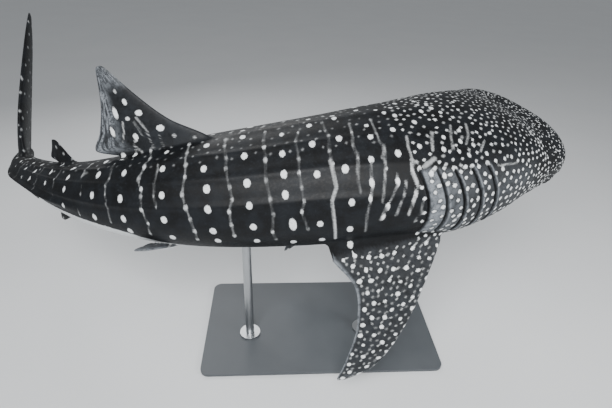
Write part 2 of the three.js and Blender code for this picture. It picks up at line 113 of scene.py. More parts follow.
ANAL = dict(
    station=0.672, side=-1, height=0.034, sink=0.5, lean=0,
    at=(0, 0.2, 0.6, 0.85, 1),
    lead=(0, 0.012, 0.03, 0.041, 0.048),
    trail=(0.04, 0.06, 0.055, 0.054, 0.055),
    thick=0.028, thin=0.007,
)
LOBE_ROOT = 0.79
UPPER_LOBE = dict(
    at=(0, 0.3, 0.6, 0.85, 1),
    lead_back=(0, 0.052, 0.104, 0.15, 0.176),
    lead_up=(-0.008, 0.066, 0.138, 0.191, 0.214),
    trail_back=(0.098, 0.121, 0.15, 0.174, 0.182),
    trail_up=(-0.008, 0.046, 0.108, 0.166, 0.209),
    thick=0.090, thin=0.010,
)
LOWER_LOBE = dict(
    at=(0, 0.35, 0.7, 1),
    lead_back=(0.004, 0.046, 0.087, 0.117),
    lead_up=(-0.0085, -0.042, -0.077, -0.101),
    trail_back=(0.098, 0.106, 0.116, 0.124),
    trail_up=(-0.0085, -0.036, -0.068, -0.098),
    thick=0.060, thin=0.009,
)

chance = np.random.default_rng(20)


def ease(x):
    """A smooth step from 0 to 1."""
    t = np.clip(x, 0, 1)
    return t * t * (3 - 2 * t)


def hump(x, centre, width):
    """A smooth bump, 1 high at its centre."""
    return np.exp(-(((x - centre) / width) ** 2))


def curve(xs, ys):
    """A smooth curve through named points that never overshoots them."""
    xs, ys = np.array(xs, float), np.array(ys, float)
    slope = np.diff(ys) / np.diff(xs)
    a, b = slope[:-1], slope[1:]
    same_way = a * b > 0
    middle = np.where(same_way, 2 * a * b / np.where(same_way, a + b, 1), 0)
    tangent = np.concatenate([slope[:1], middle, slope[-1:]])

    def value(x):
        i = np.clip(np.searchsorted(xs, x, side="left") - 1, 0, len(xs) - 2)
        h = xs[i + 1] - xs[i]
        t = np.clip((x - xs[i]) / h, 0, 1)
        ends = (2 * t**3 - 3 * t**2 + 1) * ys[i] + (3 * t**2 - 2 * t**3) * ys[i + 1]
        return ends + h * ((t**3 - 2 * t**2 + t) * tangent[i] + (t**3 - t**2) * tangent[i + 1])

    return value


half_width, top_height, bottom_depth = (curve(STATIONS[:, 0], STATIONS[:, k]) for k in (1, 2, 3))


def unit(v):
    return v / np.linalg.norm(v, axis=-1, keepdims=True)


def between(x, places, rows):
    """Rows of numbers given at places, read at x."""
    return np.stack([np.interp(x, places, rows[:, k]) for k in range(rows.shape[1])], -1)


def build_spine(steps=2000):
    """The bent axis of the body: position, direction to the tail, side and up, for each step."""
    s = np.linspace(0, 1, steps + 1)
    head = HEAD_TURN * ease((HEAD_TURN_END - s) / HEAD_TURN_END)
    tail = TAIL_TURN * ease((s - TAIL_TURN_START) / (TAIL_TURN_END - TAIL_TURN_START))
    fluke = FLUKE_TURN * ease((s - FLUKE_TURN_START) / FLUKE_TURN_RUN)
    yaw = np.radians(tail + fluke - head)
    lift = np.radians(PITCH + HEAD_LIFT * ease((0.3 - s) / 0.3) - TAIL_LIFT * ease((s - 0.45) / 0.4))
    heading = np.stack([-np.cos(yaw), np.sin(yaw), -np.tan(lift)], 1)
    position = np.zeros_like(heading)
    position[1:] = np.cumsum((heading[1:] + heading[:-1]) / 2 * LENGTH / steps, 0)
    position += np.array([-BALANCE[0], -BALANCE[1], AXIS_HEIGHT]) - position[round(MID_STATION * steps)]
    back = unit(heading)
    side = unit(np.cross(back, [0, 0, 1]))
    side *= np.where(side[:, 1:2] > 0, -1, 1)
    up = np.cross(side, back)
    up *= np.sign(up[:, 2:3])
    turn = np.radians(HEAD_TWIST * ease((0.35 - s) / 0.35) + TAIL_TWIST * ease((s - 0.42) / 0.4))[:, None]
    turned_side = side * np.cos(turn) - up * np.sin(turn)
    turned_up = up * np.cos(turn) + side * np.sin(turn)
    return s, np.concatenate([position, back, turned_side, turned_up], 1)


SPINE_S, SPINE = build_spine()


def frame_at(s):
    """Position, back, side and up at stations s."""
    flat = between(np.asarray(s, float), SPINE_S, SPINE)
    return tuple(flat[..., k : k + 3] for k in (0, 3, 6, 9))


def snout(s, shape):
    """How far the body has opened from the snout's tip, from 0 to 1."""
    reach, corner = shape
    r = np.clip(1 - s / reach, 0, 1)
    return (1 - r**corner) ** (1 / corner)


def body_local(s, degrees):
    """Offsets to the side and up from the axis, of the plain body."""
    s, degrees = np.broadcast_arrays(np.asarray(s, float), np.asarray(degrees, float))
    angle = np.radians(degrees)
    wide = half_width(s) * snout(s, SNOUT_WIDE) * LENGTH
    tall = np.where(np.cos(angle) > 0, top_height(s), bottom_depth(s)) * snout(s, SNOUT_HIGH) * LENGTH
    power = 2 / (2 + 0.6 * ease((0.22 - s) / 0.2))
    across = np.sign(np.sin(angle)) * np.abs(np.sin(angle)) ** power
    above = np.sign(np.cos(angle)) * np.abs(np.cos(angle)) ** power
    keel_run = ease((s - KEEL_START) / 0.12) * ease((KEEL_END - s) / 0.06)
    keel = KEEL_HEIGHT * LENGTH * keel_run * hump(np.abs(degrees), 90, 8)
    return (wide + keel) * across, tall * above


def body_point(s, degrees):
    """A point of the plain body: station, and angle from the top towards the right side."""
    across, above = body_local(s, degrees)
    position, _, side, up = frame_at(np.broadcast_to(s, across.shape))
    return position + side * across[..., None] + up * above[..., None]


def eye_centre(flip):
    """An eyeball's centre and the way it faces; flip is 1 on the right side and -1 on the left."""
    s, angle = EYE_STATION, EYE_ANGLE
    place = body_point(s, angle * flip)
    along = body_point(s + 0.004, angle * flip) - body_point(s - 0.004, angle * flip)
    around = body_point(s, (angle + 2) * flip) - body_point(s, (angle - 2) * flip)
    normal = unit(np.cross(along, around))
    if np.dot(normal, place - frame_at(s)[0]) < 0:
        normal = -normal
    return place - normal * EYE_SINK, normal


# Helpers for mesh pieces


def clear_selection():
    if bpy.context.object and bpy.context.object.mode != "OBJECT":
        bpy.ops.object.mode_set(mode="OBJECT")
    bpy.ops.object.select_all(action="DESELECT")


def select_only(piece):
    clear_selection()
    piece.select_set(True)
    bpy.context.view_layer.objects.active = piece


def grid_piece(name, rows, columns):
    """A flat grid primitive, ready to be rolled or bent into a surface."""
    clear_selection()
    bpy.ops.mesh.primitive_grid_add(x_subdivisions=columns - 1, y_subdivisions=rows - 1, size=1)
    piece = bpy.context.object
    piece.name = name
    piece.data.name = name
    return piece


def move_points(piece, points):
    """Moves the piece's points, in their order, to these places."""
    flat = np.ascontiguousarray(points, dtype=np.float32).reshape(-1)
    piece.data.vertices.foreach_set("co", flat)
    piece.data.update()


def close_tube(piece):
    """Joins the two long edges of a rolled grid, closes its ends and turns its faces outwards."""
    select_only(piece)
    bpy.ops.object.mode_set(mode="EDIT")
    bpy.ops.mesh.select_all(action="SELECT")
    bpy.ops.mesh.remove_doubles(threshold=0.00002)
    bpy.ops.mesh.select_all(action="DESELECT")
    bpy.ops.mesh.select_non_manifold()
    bpy.ops.mesh.edge_face_add()
    bpy.ops.mesh.select_all(action="DESELECT")
    bpy.ops.mesh.select_face_by_sides(number=4, type="GREATER")
    bpy.ops.mesh.poke()
    bpy.ops.mesh.select_all(action="SELECT")
    bpy.ops.mesh.normals_make_consistent(inside=False)
    bpy.ops.object.mode_set(mode="OBJECT")


def points_of(piece, kind="co"):
    """The piece's points, or their normals where kind is normal."""
    flat = np.empty(len(piece.data.vertices) * 3)
    piece.data.vertices.foreach_get(kind, flat)
    return flat.reshape(-1, 3)


def tree_of(points):
    """A search tree that finds the nearest of these points."""
    tree = KDTree(len(points))
    for i, p in enumerate(points):
        tree.insert(p, i)
    tree.balance()
    return tree


def put_attribute(piece, name, values):
    layer = piece.data.attributes.new(name=name, type="FLOAT", domain="POINT")
    layer.data.foreach_set("value", np.ascontiguousarray(values, dtype=np.float32))


# The skin's relief


def gill_bow(angle):
    """How far a gill opening's line bows forwards at an angle from the top, as a share of the length."""
    t = np.clip((np.abs(angle) - GILL_TOP) / (GILL_BOTTOM - GILL_TOP), 0, 1)
    return 0.002 * t - 0.005 * np.sin(np.pi * t)


def gill_places(s, angle):
    """For each opening, the distance behind its line and how fully it is there at this height."""
    t = (np.abs(angle) - GILL_TOP) / (GILL_BOTTOM - GILL_TOP)
    held = ease((t + 0.05) / 0.1) * ease((1.05 - t) / 0.1)
    return [((s - station - gill_bow(angle)) * LENGTH, held) for station in GILL_STATIONS]


def above_mouth(across, above):
    """How far places on the body lie above the line where the lips meet."""
    share = np.abs(across) / (0.09 * LENGTH)
    line = (MOUTH_FRONT_HEIGHT + (MOUTH_SIDE_HEIGHT - MOUTH_FRONT_HEIGHT) * share**2) * LENGTH
    return above - line


def skin_relief(s, angle, across, above):
    """How far the skin stands out from the plain body, in metres."""
    side_angle = np.abs(angle)
    rise = np.zeros_like(s)
    ridge_run = ease((s - 0.2) / 0.1) * ease((0.82 - s) / 0.1)
    for place, height in SIDE_RIDGES:
        rise += height * ridge_run * hump(side_angle, place, 3.6)
    rise += BACK_RIDGE * ease((s - 0.1) / 0.1) * ease((0.46 - s) / 0.05) * hump(side_angle, 0, 5)
    for behind, held in gill_places(s, angle):
        flap = GILL_FLAP * np.exp(np.minimum(behind, 0) / 0.05) * (behind < 0)
        slot = -GILL_DEPTH * hump(behind, 0.005, 0.0052)
        hollow = -0.005 * np.exp(-np.maximum(behind, 0) / 0.05) * (behind >= 0)
        rise += held * (flap + slot + hollow)
    gap = above_mouth(across, above)
    held = ease((MOUTH_CORNER - s) / 0.012)
    rise += held * (-MOUTH_DEPTH * hump(gap, 0, 0.011) + LIP_HEIGHT * hump(np.abs(gap), 0.035, 0.022))
    corner = hump((s - MOUTH_CORNER) * LENGTH, 0, 0.05) * hump(gap, 0, 0.03)
    rise -= 0.012 * corner * (side_angle > 60) * (side_angle < 130)
    return rise


def body_rings():
    """Stations of the skin's rings: close on the snout, head and gill openings, wider along the trunk."""
    parts = [0.0004 + 0.05 * np.linspace(0, 1, 36) ** 1.6]
    for start, end, step in ((0.0505, 0.161, 0.0024), (0.2455, 0.62, 0.0028), (0.62, BODY_END, 0.0040)):
        parts.append(np.arange(start + step, end - step / 2, step))
    beside = np.array([-90, -60, -35, -18, -7, 0, 7, 14, 24, 45, 75]) / 10000
    near_gills = np.sort(np.concatenate([station + beside for station in GILL_STATIONS]))
    kept = [near_gills[0]]
    for s in near_gills[1:]:
        if s - kept[-1] > 0.0006:
            kept.append(s)
    return np.sort(np.concatenate([*parts, kept, [BODY_END]]))


def ring_grid():
    """Station and angle of each point of the skin's grid; by the gills the rings follow their bowed lines."""
    # Closer on the back and flanks than on the plain white belly
    t = np.linspace(-1, 1, 201)
    angles = 180 * (t * 0.74 + 0.26 * np.sign(t) * np.abs(t) ** 3)
    s_grid, a_grid = np.meshgrid(body_rings(), angles, indexing="ij")
    along_gills = ease((s_grid - 0.148) / 0.012) * ease((0.262 - s_grid) / 0.014)
    return s_grid + gill_bow(a_grid) * along_gills, a_grid


def plain_body():
    """The body's skin without fins, and each point's place, station and angle."""
    s_grid, a_grid = ring_grid()
    across, above = body_local(s_grid, a_grid)
    points = body_point(s_grid, a_grid)
    slope_s = np.gradient(points, axis=0)
    slope_a = np.gradient(points, axis=1)
    slope_a[:, 0] = slope_a[:, -1] = points[:, 1] - points[:, -2]
    normal = unit(np.cross(slope_s, slope_a))
    centre = frame_at(s_grid)[0]
    normal *= np.sign(np.sum(normal * (points - centre), -1, keepdims=True))
    rise = skin_relief(s_grid, a_grid, across, above)
    for flip in (1, -1):
        rise += eye_relief(points, flip) + nostril_relief(points, flip)
    points = points + normal * rise[..., None]
    points[:, -1] = points[:, 0]
    piece = grid_piece("shark_skin", *s_grid.shape)
    move_points(piece, points)
    close_tube(piece)
    return piece, points.reshape(-1, 3), s_grid.reshape(-1), a_grid.reshape(-1)


def eye_relief(points, flip):
    """The socket and the raised lid round an eye, and the breathing hole behind it."""
    centre, normal = eye_centre(flip)
    reach = np.linalg.norm(points - centre - normal * EYE_SINK, axis=-1)
    lid = 0.011 * hump(reach, 0.040, 0.011)
    socket = -0.022 * ease((0.034 - reach) / 0.012)
    hole_at = body_point(EYE_STATION + 0.019, (EYE_ANGLE - 6) * flip)
    hole = np.linalg.norm(points - hole_at, axis=-1)
    breathing = -0.022 * hump(hole, 0, 0.016) + 0.005 * hump(hole, 0.032, 0.012)
    return lid + socket + breathing


def nostril_relief(points, flip):
    """A nostril at the upper lip near the mouth's corner, with its small flap beside it."""
    pit = np.linalg.norm(points - body_point(0.0105, 76 * flip), axis=-1)
    flap = np.linalg.norm(points - body_point(0.0145, 79 * flip), axis=-1)
    return -0.020 * hump(pit, 0, 0.018) + 0.014 * hump(flap, 0, 0.018)


# Fins


def lens(v):
    """A fin's thickness across its chord, fullest at 0.35 of it."""
    return (v / 0.35) ** 0.7 * ((1 - v) / 0.65) ** 1.3


def half_thickness(fin, u, v):
    """Thick at the root and flared into the body, thin at the tip and round both edges."""
    thick = fin["thick"] * (1 - np.clip(u, 0, 1)) ** 0.75 + 0.002
    edge = np.sqrt(np.clip(np.minimum(v, 1 - v) * 40, 0.12, 1))[None]
    flare = 0.018 * np.exp(-np.clip(u, 0, 1) / 0.045)[:, None] * lens(v)[None]
    return fin["thin"] / 2 * edge + thick[:, None] / 2 * lens(v)[None] + flare


def rolled_fin(name, fin, middle, normal, u, v):
    """A closed fin from its middle surface and the way its first face looks; v is negative on the second."""
    lift = normal * half_thickness(fin, u, v)[..., None]
    points = np.concatenate([middle + lift, (middle - lift)[:, ::-1]], 1)
    points = np.concatenate([points, points[:, :1]], 1)
    piece = grid_piece(name, points.shape[0], points.shape[1])
    move_points(piece, points)
    close_tube(piece)
    u_grid = np.repeat(u[:, None], points.shape[1], 1)
    v_grid = np.repeat(np.concatenate([v, -v[::-1], v[:1]])[None], points.shape[0], 0)
    return piece, points.reshape(-1, 3), u_grid.reshape(-1), v_grid.reshape(-1)


def chord_places(count):
    """Shares of the chord, closer at both edges."""
    t = np.linspace(0, 1, count)
    return 0.6 * ease(t) + 0.4 * t


def span_places(fin, count):
    """Shares of the span, with two rows sunk into the body."""
    return np.concatenate([[-fin["sink"], -fin["sink"] / 2], np.linspace(0, 1, count)])


def edge_at(fin, edge, u):
    """A fin's edge at shares u of its span, as a share of the length."""
    return curve(fin["at"], fin[edge])(np.clip(u, 0, 1))


def paired_fin(name, fin, flip, rows, columns):
    """A fin of the right (flip 1) or left side, which droops more and more towards its tip."""
    _, back, side, up = frame_at(fin["station"])
    u = span_places(fin, rows)
    fine = np.linspace(0, 1, 257)
    droop = np.radians(fin["droop"][0] + (fin["droop"][1] - fin["droop"][0]) * fine)[:, None]
    out = side * flip * np.cos(droop) - up * np.sin(droop)
    run = np.zeros_like(out)
    run[1:] = np.cumsum((out[1:] + out[:-1]) / 2 * fin["span"] * LENGTH / 256, 0)
    inside = np.clip(u, None, 0)[:, None] * out[0] * fin["span"] * LENGTH
    line = between(u, fine, run) + inside
    line += body_point(fin["station"], fin["root_angle"] * flip)
    out_at = between(u, fine, out)
    raised = unit(np.cross(back, out_at))
    raised *= np.sign(np.sum(raised * up, 1, keepdims=True))
    pitch = math.radians(fin["pitch"])
    chord = back * math.cos(pitch) - raised * math.sin(pitch)
    lead = line + chord * edge_at(fin, "lead", u)[:, None] * LENGTH
    trail = line + chord * edge_at(fin, "trail", u)[:, None] * LENGTH
    v = chord_places(columns)
    normal = unit(np.cross(chord, out_at))
    normal = (normal * np.sign(np.sum(normal * raised, 1, keepdims=True)))[:, None]
    middle = lead[:, None] * (1 - v[None, :, None]) + trail[:, None] * v[None, :, None]
    return rolled_fin(name, fin, middle, normal, u, v)


def upright_axes(fin):
    """Where an upright fin starts, and its directions along its base and away from the body."""
    angle = 0 if fin["side"] > 0 else 180
    root = body_point(fin["station"], angle)
    along = unit(body_point(fin["station"] + 0.11, angle) - root)
    _, _, side, up = frame_at(fin["station"] + 0.055)
    straight = up * fin["side"]
    straight = unit(straight - along * np.dot(straight, along))
    across = unit(np.cross(along, straight))
    if np.dot(across, side) < 0:
        across = -across
    lean = math.radians(fin["lean"])
    return root, along, straight * math.cos(lean) + across * math.sin(lean), across


def upright_place(fin, u, v):
    """The point in an upright fin's middle at shares u of its height and v of its chord."""
    root, along, rise, _ = upright_axes(fin)
    u = np.asarray(u, float)
    lead, trail = edge_at(fin, "lead", u), edge_at(fin, "trail", u)
    chord = (lead + (trail - lead) * v) * LENGTH
    return root + rise * (u * fin["height"] * LENGTH)[..., None] + along * chord[..., None]


def upright_fin(name, fin, rows, columns):
    _, along, rise, across = upright_axes(fin)
    u = span_places(fin, rows)
    v = chord_places(columns)
    normal = unit(np.cross(along, rise))
    normal = np.broadcast_to(normal * np.sign(np.dot(normal, across)), (len(u), 1, 3))
    middle = upright_place(fin, u[:, None], v[None, :])
    return rolled_fin(name, fin, middle, normal, u, v)


def tail_lobe(name, fin, rows, columns):
    """A lobe of the tail fin, which stands upright on the turned axis."""
    u, v = np.linspace(0, 1, rows), chord_places(columns)
    back, rise = (
        edge_at(fin, "lead_" + way, u)[:, None] * (1 - v) + edge_at(fin, "trail_" + way, u)[:, None] * v
        for way in ("back", "up")
    )
    position, _, side, up = frame_at(LOBE_ROOT + back)
    middle = position + up * (rise * LENGTH)[..., None]
    return rolled_fin(name, fin, middle, side, u, v)


def union(skin, fin):
    """Joins a fin to the skin as one closed surface."""
    select_only(skin)
    join = skin.modifiers.new("join", "BOOLEAN")
    join.operation = "UNION"
    join.object = fin
    join.solver = "MANIFOLD"
    bpy.ops.object.modifier_apply(modifier=join.name)
    bpy.data.objects.remove(fin, do_unlink=True)


def soften_roots(skin, known):
    """Eases the skin over each line where a fin leaves the body into a soft hollow."""
    points = points_of(skin)
    tree = tree_of(known)
    roots = tree_of([p for p in points if tree.find(p)[2] > 0.0004])
    reach = np.array([roots.find(p)[2] for p in points])
    weight = (ease((0.075 - reach) / 0.075) * 0.9)[:, None]
    edges = np.empty(len(skin.data.edges) * 2, dtype=np.int64)
    skin.data.edges.foreach_get("vertices", edges)
    a, b = edges.reshape(-1, 2).T
    count = np.bincount(np.concatenate([a, b]), minlength=len(points))[:, None]
    for _ in range(14):
        total = np.zeros_like(points)
        np.add.at(total, a, points[b])
        np.add.at(total, b, points[a])
        points = points + (total / np.maximum(count, 1) - points) * weight
    move_points(skin, points)


# The numbers of the skin's parts, in the order in which build_skin joins them
BODY, PECTORALS, DORSAL, PELVICS, UPPER_FLUKE, LOWER_FLUKE = 0, (1, 2), 3, (4, 5), 8, 9
SMALL_FINS = (*PELVICS, 6, 7)


def build_skin():
    """The whole skin, and for each point its part and its place there: station and angle, or u and v."""
    body, points, s, a = plain_body()
    sources = [(points, np.zeros(len(points)), s, a)]
    fins = [
        paired_fin("pectoral_right", PECTORAL, 1, 88, 44),
        paired_fin("pectoral_left", PECTORAL, -1, 88, 44),
        upright_fin("first_dorsal", FIRST_DORSAL, 60, 44),
        paired_fin("pelvic_right", PELVIC, 1, 20, 18),
        paired_fin("pelvic_left", PELVIC, -1, 20, 18),
        upright_fin("second_dorsal", SECOND_DORSAL, 20, 18),
        upright_fin("anal", ANAL, 20, 18),
        tail_lobe("upper_lobe", UPPER_LOBE, 80, 30),
        tail_lobe("lower_lobe", LOWER_LOBE, 40, 26),
    ]
    for k, (fin, fin_points, u, v) in enumerate(fins):
        sources.append((fin_points, np.full(len(fin_points), k + 1), u, v))
        union(body, fin)
    known, part, first, second = (np.concatenate(column) for column in zip(*sources))
    tree = tree_of(known)
    nearest = np.array([tree.find(p)[1] for p in points_of(body)])
    soften_roots(body, known)
    return body, part[nearest], first[nearest], second[nearest]


skin, skin_part, skin_first, skin_second = build_skin()

# The skin's markings: one signed distance to the nearest white mark, and how bright that mark is

skin_points = points_of(skin)
skin_normals = points_of(skin, "normal")
mark_distance = np.full(len(skin_points), 0.2)
mark_strength = np.zeros(len(skin_points))
skin_tree = tree_of(skin_points)
# How far past a mark's edge its distance is known, and the side of a cell for finding neighbours
MARGIN, CELL = 0.03, 0.05


def skin_near(centre, reach):
    """The numbers of the skin's points within reach."""
    return np.array([item[1] for item in skin_tree.find_range(centre, reach)], dtype=int)


def skin_at(point):
    """The skin's nearest point and its normal there."""
    i = skin_tree.find(point)[1]
    return skin_points[i], skin_normals[i]


def paint(near, distance, strength):
    """Marks these skin points, given their distances outside the mark's edge; the nearest mark wins."""
    closer = distance < mark_distance[near]
    chosen = near[closer]
    mark_distance[chosen] = distance[closer]
    mark_strength[chosen] = strength


def spot(centre, normal, along, r_along, r_around, strength):
    """An oval spot; only skin that faces the same way as its centre takes it."""
    near = skin_near(centre, max(r_along, r_around) + MARGIN)
    near = near[skin_normals[near] @ normal > 0.1]
    along = unit(along - normal * np.dot(along, normal))
    around = np.cross(normal, along)
    offset = skin_points[near] - centre
    reach = np.sqrt((offset @ along / r_along) ** 2 + (offset @ around / r_around) ** 2)
    paint(near, (reach - 1) * min(r_along, r_around), strength)


def body_spot(s, angle, r_along, r_around, strength):
    """A spot on the body at a station and an angle; its sizes are in millimetres."""
    centre = body_point(s, angle)
    near, normal = skin_at(centre)
    centre = centre + normal * np.dot(near - centre, normal)
    spot(centre, normal, frame_at(s)[1], r_along / 1000, r_around / 1000, strength)


def paint_bar(near, start, end, normal, half, strength):
    """A straight bar over these skin points, measured in the plane across the normal."""
    length = np.linalg.norm(end - start)
    way = (end - start) / length
    offset = skin_points[near] - start
    offset -= np.outer(offset @ normal, normal)
    run = np.clip(offset @ way, 0, length)
    away = np.linalg.norm(offset - run[:, None] * way, axis=1)
    paint(near, away - half, strength)


def body_bar(places, half_mm, strength, steps=5):
    """A bar through a row of (station, angle) places, as wide as half_mm each side."""
    for (s0, a0), (s1, a1) in zip(places, places[1:]):
        wide, bright = half_mm / 1000 * chance.uniform(0.8, 1.15), strength * chance.uniform(0.8, 1.15)
        for k in range(steps):
            t0, t1 = k / steps, (k + 1) / steps
            start = body_point(s0 + (s1 - s0) * t0, a0 + (a1 - a0) * t0)
            end = body_point(s0 + (s1 - s0) * t1, a0 + (a1 - a0) * t1)
            middle = (start + end) / 2
            near_point, normal = skin_at(middle)
            drop = normal * np.dot(near_point - middle, normal)
            start, end = start + drop, end + drop
            near = skin_near((start + end) / 2, np.linalg.norm(end - start) / 2 + wide + MARGIN)
            paint_bar(near[skin_normals[near] @ normal > 0.1], start, end, normal, wide, bright)


def dorsal_bar(points, half_mm, strength):
    """A bar through a row of points in the first dorsal fin's middle, marked on both of its faces."""
    half = half_mm / 1000
    for start, end in zip(points, points[1:]):
        near = skin_near((start + end) / 2, np.linalg.norm(end - start) / 2 + half + 0.08)
        paint_bar(near[skin_part[near] == DORSAL], start, end, dorsal_across, half, strength)


# Columns of bright spots down the flank: station, spot half length and half height in mm, angles from the top
SPOT_COLUMNS = (
    (0.840, 12, 15, (15, 44, 80)),
    (0.815, 12, 16, (30, 66)),
    (0.792, 13, 20, (12, 29, 55, 88)),
    (0.761, 14, 22, (16, 45, 74)),
    (0.735, 17, 28, (14, 42, 70, 99)),
    (0.690, 19, 31, (9, 34, 62, 100)),
    (0.648, 20, 33, (22, 44, 65, 90)),
    (0.600, 23, 35, (10, 36, 65, 97)),
    (0.560, 25, 37, (8, 35, 65, 89, 112)),
    (0.510, 27, 33, (10, 35, 62, 87, 113)),
    (0.460, 28, 35, (13, 39, 59, 77, 99, 115)),
    (0.416, 28, 34, (8, 31, 55, 73, 95, 116)),
    (0.373, 25, 35, (14, 33, 52, 67)),
    (0.3695, 29, 62, (94,)),
    (0.372, 29, 36, (121,)),
    (0.339, 27, 33, (6, 29, 55, 95, 119)),
    (0.307, 26, 35, (2, 25, 53, 77, 103, 130)),
    (0.2755, 24, 28, (15, 27)),
    (0.2800, 23, 32, (46,)),
    (0.2845, 20, 42, (63,)),
    (0.2870, 16, 34, (75,)),
    (0.2510, 23, 28, (4, 22)),
    (0.2535, 24, 34, (42,)),
    (0.2604, 20, 40, (64,)),
    (0.2731, 18, 36, (82,)),
    (0.2774, 17, 34, (91,)),
)
# Fainter columns between them, of soft bars strung with beads: station, bead size, line strength, angles
BEAD_COLUMNS = (
    (0.775, 9, 0.22, (20, 52, 90)),
    (0.715, 10, 0.25, (26, 55, 84)),
    (0.670, 11, 0.30, (14, 50, 78, 104)),
    (0.623, 14, 0.38, (12, 37, 52, 66, 82, 100)),
    (0.580, 12, 0.30, (18, 41, 52, 62, 80, 100)),
    (0.534, 19, 0.45, (4, 16, 30, 43, 54, 63, 78, 92, 108)),
    (0.518, 9, 0.20, (30, 48, 62, 74)),
    (0.483, 20, 0.34, (6, 18, 33, 46, 61, 74, 85, 99, 112)),
    (0.438, 19, 0.22, (6, 18, 30, 42, 57, 69, 79, 92, 106)),
    (0.393, 18, 0.16, (6, 18, 28, 39, 54, 69, 85, 102, 114)),
    (0.355, 16, 0.16, (12, 24, 40, 52, 62, 73, 84, 100)),
    (0.320, 14, 0.16, (6, 14, 23, 37, 47)),
    (0.294, 12, 0.30, (10, 22, 33, 44, 55)),
    (0.268, 13, 0.34, (12, 25, 37, 45, 53)),
)
# Whole bars on the flank behind the gills, which lean back to the pectoral fin: places, half width, strength
WHOLE_BARS = (
    (((0.3215, 44), (0.3200, 56), (0.3190, 65), (0.3250, 75), (0.3245, 92), (0.3240, 118)), 13, 0.52),
    (((0.2925, 40), (0.2945, 52), (0.2972, 62), (0.2958, 70)), 7, 0.26),
    (((0.2825, 50), (0.2845, 66), (0.2873, 76), (0.2916, 88), (0.2930, 108)), 7, 0.34),
    (((0.2640, 35), (0.2689, 52), (0.2717, 62), (0.2765, 78)), 8, 0.42),
    (((0.2585, 57), (0.2610, 66), (0.2660, 73), (0.2740, 84), (0.2790, 94)), 7, 0.36),
    (((0.2515, 62), (0.2547, 71), (0.2590, 79), (0.2640, 90)), 8, 0.44),
    (((0.2390, 29), (0.2420, 39), (0.2420, 46)), 11, 0.46),
    (((0.2425, 47), (0.2448, 56), (0.2425, 64), (0.2440, 70), (0.2476, 78), (0.2525, 90)), 14, 0.62),
    (((0.2391, 79), (0.2420, 89), (0.2462, 98)), 7, 0.34),
    (((0.2108, 25), (0.2164, 34), (0.2193, 40)), 11, 0.48),
    (((0.1853, 20), (0.1938, 30), (0.1994, 40)), 9, 0.45),
    (((0.1668, 20), (0.1739, 30), (0.1824, 37)), 8, 0.42),
    (((0.1711, 44), (0.1597, 36)), 8, 0.45),
    (((0.1583, 57), (0.1470, 58), (0.1328, 60)), 7, 0.50),
    (((0.2325, 52), (0.2207, 46)), 15, 0.50),
)
# Bright spots on the top of the head: station, angle from the top
HEAD_SPOTS = (
    (0.2377, 7), (0.2207, 16), (0.2292, 37), (0.1966, 14), (0.2023, 30), (0.2079, 40), (0.1824, 7),
    (0.2051, 5), (0.1909, 3), (0.1739, 12), (0.1569, 5), (0.1810, 26), (0.1867, 34), (0.1938, 42),
    (0.1555, 15), (0.1612, 27), (0.1753, 38), (0.1853, 44), (0.1356, 12), (0.1442, 23), (0.1484, 30),
    (0.1668, 46), (0.1541, 40), (0.1399, 42), (0.1300, 24), (0.1201, 15), (0.1215, 30), (0.1229, 42),
    (0.1399, 6), (0.1201, 6), (0.1080, 10), (0.1070, 22), (0.1060, 35), (0.0980, 16),
    (0.0960, 28), (0.0940, 40), (0.0880, 8), (0.0860, 21), (0.2264, 57), (0.2150, 58),
)
# Marks on the first dorsal fin: shares of its height and chord, half sizes in mm along and up, strength
DORSAL_SPOTS = (
    (0.574, 0.36, 20, 28, 1.0), (0.434, 0.26, 32, 26, 1.0), (0.231, 0.205, 36, 28, 1.0),
    (0.480, 0.68, 22, 52, 1.0), (0.288, 0.80, 20, 46, 1.0), (0.398, 0.50, 22, 18, 0.85),
    (0.012, 0.945, 24, 34, 1.0), (0.190, 0.53, 24, 36, 1.0), (0.700, 0.42, 14, 18, 0.6),
    (0.120, 0.20, 20, 20, 0.5), (0.060, 0.10, 16, 14, 0.6),
)
DORSAL_BARS = (
    (((0.19, 0.53), (0.10, 0.62), (0.023, 0.707), (-0.11, 0.797)), 11, 0.55),
    (((0.39, 0.36), (0.31, 0.355), (0.22, 0.37), (0.126, 0.43), (-0.02, 0.60)), 10, 0.45),
    (((0.35, 0.44), (0.27, 0.44), (0.19, 0.45)), 7, 0.35),
    (((0.37, 0.61), (0.27, 0.64), (0.158, 0.69)), 10, 0.60),
    (((0.16, 0.30), (0.08, 0.38), (-0.02, 0.48)), 8, 0.30),
)


def flank_markings(flip, wander):
    """The flank's columns of spots and beads on one side; wander shifts the far side's a little."""
    for station, half_long, half_high, angles in SPOT_COLUMNS:
        for angle in angles:
            s = station + chance.normal(0, 0.0012 + wander * 0.002)
            a = angle + chance.normal(0, 0.8 + wander * 5)
            size = chance.uniform(0.93, 1.07)
            shrink = 0.85 if angle < 20 else 1.0
            body_spot(s, a * flip, half_long * size * shrink, half_high * size * shrink, 1.0)
    for station, bead, line, angles in BEAD_COLUMNS:
        places = []
        for angle in angles:
            s = station + chance.normal(0, 0.0016 + wander * 0.002)
            a = angle + chance.normal(0, 1.0 + wander * 4)
            size = chance.uniform(0.75, 1.15)
            places.append((s, a * flip))
            body_spot(s, a * flip, bead * size * 0.85, bead * size * 1.3, chance.uniform(0.4, 0.75))
        body_bar(places, 6, line)
    for places, half, strength in WHOLE_BARS:
        shift = chance.normal(0, wander * 0.003)
        body_bar([(s + shift, a * flip) for s, a in places], half, strength)


